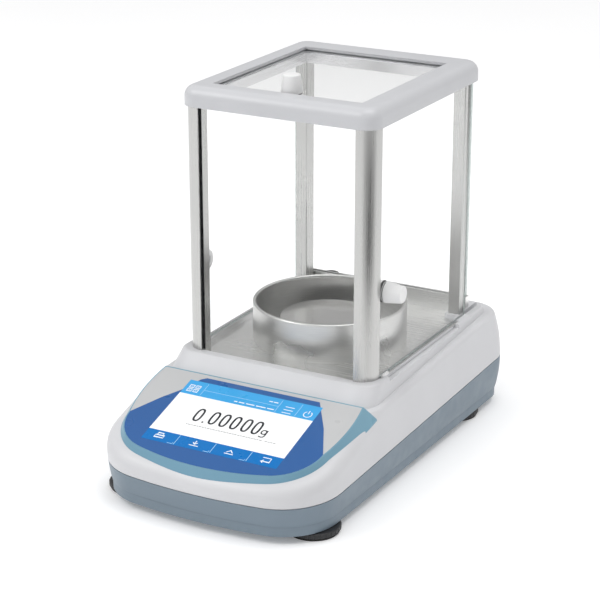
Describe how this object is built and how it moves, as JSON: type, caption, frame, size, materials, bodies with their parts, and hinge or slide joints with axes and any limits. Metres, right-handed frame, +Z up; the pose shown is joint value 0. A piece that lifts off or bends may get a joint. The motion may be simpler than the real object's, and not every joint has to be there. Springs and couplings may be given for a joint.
{
  "type": "analytical balance",
  "caption": "Analytical balance: sliding glass draft shield over a round pan and ring, sloped touch console, levelling feet.",
  "frame": {"origin": "on the surface the balance stands on, under the middle of the base", "axes": "+Z up; the console faces -Y; +X is the right-hand side seen from the front"},
  "size_m": [0.212, 0.3677, 0.322],
  "materials": {
    "cover": "fine textured, satin",
    "frame": "satin",
    "tray": "fine powder coat",
    "console": "glossy printed panel",
    "screen": "module",
    "board": "solder mask",
    "stainless": "brushed",
    "pan_steel": "polished",
    "extrusion": "satin anodised",
    "glass": "clear",
    "seal": "matt",
    "knob": "satin white",
    "fastener": "zinc plated",
    "casting": "as cast",
    "cell": "milled",
    "magnet": "nickel plated",
    "brass": "turned",
    "black_plastic": "satin",
    "port_metal": "nickel plated",
    "vial": "tinted",
    "foot_rubber": "matt"
  },
  "bodies": {
    "base": {"bubble_level_cup": "black_plastic", "bubble_level_vial": "vial", "calibration_motor": "black_plastic", "chamber_floor_plate": "stainless", "chassis": "casting", "connector_panel": "black_plastic", "console_overlay": "console", "display_board": "board", "front_glass": "glass", "front_glass_seals": "seal", "front_left_post": "extrusion", "front_right_post": "extrusion", "housing_screws": "fastener", "lcd_module": "screen", "left_door_rail": "extrusion", "load_cell": "cell", "lower_housing": "tray", "magnet_pot": "magnet", "main_board": "board", "pan_socket": "cell", "post_screws": "fastener", "power_inlet": "black_plastic", "rail_clips": "knob", "rear_glass": "glass", "rear_left_post": "extrusion", "rear_right_post": "extrusion", "rear_sill": "stainless", "right_door_rail": "extrusion", "serial_port": "port_metal", "top_frame": "frame", "upper_housing": "cover", "usb_port": "port_metal"},
    "left_door": {"left_door_glass": "glass", "left_door_knob": "knob", "left_door_knob_washer": "seal", "left_door_knob_disc": "knob", "left_door_knob_screw": "fastener"},
    "right_door": {"right_door_glass": "glass", "right_door_knob": "knob", "right_door_knob_washer": "seal", "right_door_knob_disc": "knob", "right_door_knob_screw": "fastener"},
    "top_door": {"top_door_glass": "glass", "top_door_knob": "knob", "top_door_knob_washer": "seal", "top_door_knob_disc": "knob", "top_door_knob_screw": "fastener"},
    "pan": {"weighing_pan": "pan_steel"},
    "ring": {"draft_ring": "stainless"},
    "calibration_carrier": {"calibration_lifter": "cell", "calibration_weight": "brass"},
    "calibration_spindle": {"calibration_screw": "fastener"},
    "front_left_foot_pad_body": {"front_left_foot_pad": "foot_rubber"},
    "front_left_foot_wheel_body": {"front_left_foot_wheel": "black_plastic"},
    "front_right_foot_pad_body": {"front_right_foot_pad": "foot_rubber"},
    "front_right_foot_wheel_body": {"front_right_foot_wheel": "black_plastic"},
    "rear_left_foot_pad_body": {"rear_left_foot_pad": "foot_rubber"},
    "rear_left_foot_wheel_body": {"rear_left_foot_wheel": "black_plastic"},
    "rear_right_foot_pad_body": {"rear_right_foot_pad": "foot_rubber"},
    "rear_right_foot_wheel_body": {"rear_right_foot_wheel": "black_plastic"}
  },
  "joints": [
    {"name": "left_door_slide", "type": "slide", "parent": "base", "child": "left_door", "axis": [0, 1, 0], "range_m": [0, 0.14]},
    {"name": "right_door_slide", "type": "slide", "parent": "base", "child": "right_door", "axis": [0, 1, 0], "range_m": [0, 0.14]},
    {"name": "top_door_slide", "type": "slide", "parent": "base", "child": "top_door", "axis": [0, 1, 0], "range_m": [0, 0.13]},
    {"name": "pan_lift", "type": "slide", "parent": "base", "child": "pan", "axis": [0, 0, 1], "range_m": [0, 0.05]},
    {"name": "ring_lift", "type": "slide", "parent": "base", "child": "ring", "axis": [0, 0, 1], "range_m": [0, 0.06]},
    {"name": "calibration_lower", "type": "slide", "parent": "base", "child": "calibration_carrier", "axis": [0, 0, -1], "range_m": [0, 0.003]},
    {"name": "calibration_turn", "type": "hinge", "parent": "base", "child": "calibration_spindle", "pos_m": [-0.052, 0.0398, 0.04], "axis": [0, 0, 1], "range_deg": [0, 1545]},
    {"name": "front_left_foot_extend", "type": "slide", "parent": "base", "child": "front_left_foot_pad_body", "axis": [0, 0, -1], "range_m": [0, 0.006]},
    {"name": "front_left_foot_turn", "type": "hinge", "parent": "front_left_foot_pad_body", "child": "front_left_foot_wheel_body", "pos_m": [-0.0805, -0.137, 0.004], "axis": [0, 0, -1], "range_deg": [0, 1730]},
    {"name": "front_right_foot_extend", "type": "slide", "parent": "base", "child": "front_right_foot_pad_body", "axis": [0, 0, -1], "range_m": [0, 0.006]},
    {"name": "front_right_foot_turn", "type": "hinge", "parent": "front_right_foot_pad_body", "child": "front_right_foot_wheel_body", "pos_m": [0.0805, -0.137, 0.004], "axis": [0, 0, -1], "range_deg": [0, 1730]},
    {"name": "rear_left_foot_extend", "type": "slide", "parent": "base", "child": "rear_left_foot_pad_body", "axis": [0, 0, -1], "range_m": [0, 0.006]},
    {"name": "rear_left_foot_turn", "type": "hinge", "parent": "rear_left_foot_pad_body", "child": "rear_left_foot_wheel_body", "pos_m": [-0.0805, 0.12, 0.004], "axis": [0, 0, -1], "range_deg": [0, 1730]},
    {"name": "rear_right_foot_extend", "type": "slide", "parent": "base", "child": "rear_right_foot_pad_body", "axis": [0, 0, -1], "range_m": [0, 0.006]},
    {"name": "rear_right_foot_turn", "type": "hinge", "parent": "rear_right_foot_pad_body", "child": "rear_right_foot_wheel_body", "pos_m": [0.0805, 0.12, 0.004], "axis": [0, 0, -1], "range_deg": [0, 1730]}
  ],
  "couplings": [
    {"joint": "calibration_turn", "follows": "calibration_lower", "rad_per_m": 8976},
    {"joint": "front_left_foot_turn", "follows": "front_left_foot_extend", "rad_per_m": 5026.5},
    {"joint": "front_right_foot_turn", "follows": "front_right_foot_extend", "rad_per_m": 5026.5},
    {"joint": "rear_left_foot_turn", "follows": "rear_left_foot_extend", "rad_per_m": 5026.5},
    {"joint": "rear_right_foot_turn", "follows": "rear_right_foot_extend", "rad_per_m": 5026.5}
  ]
}
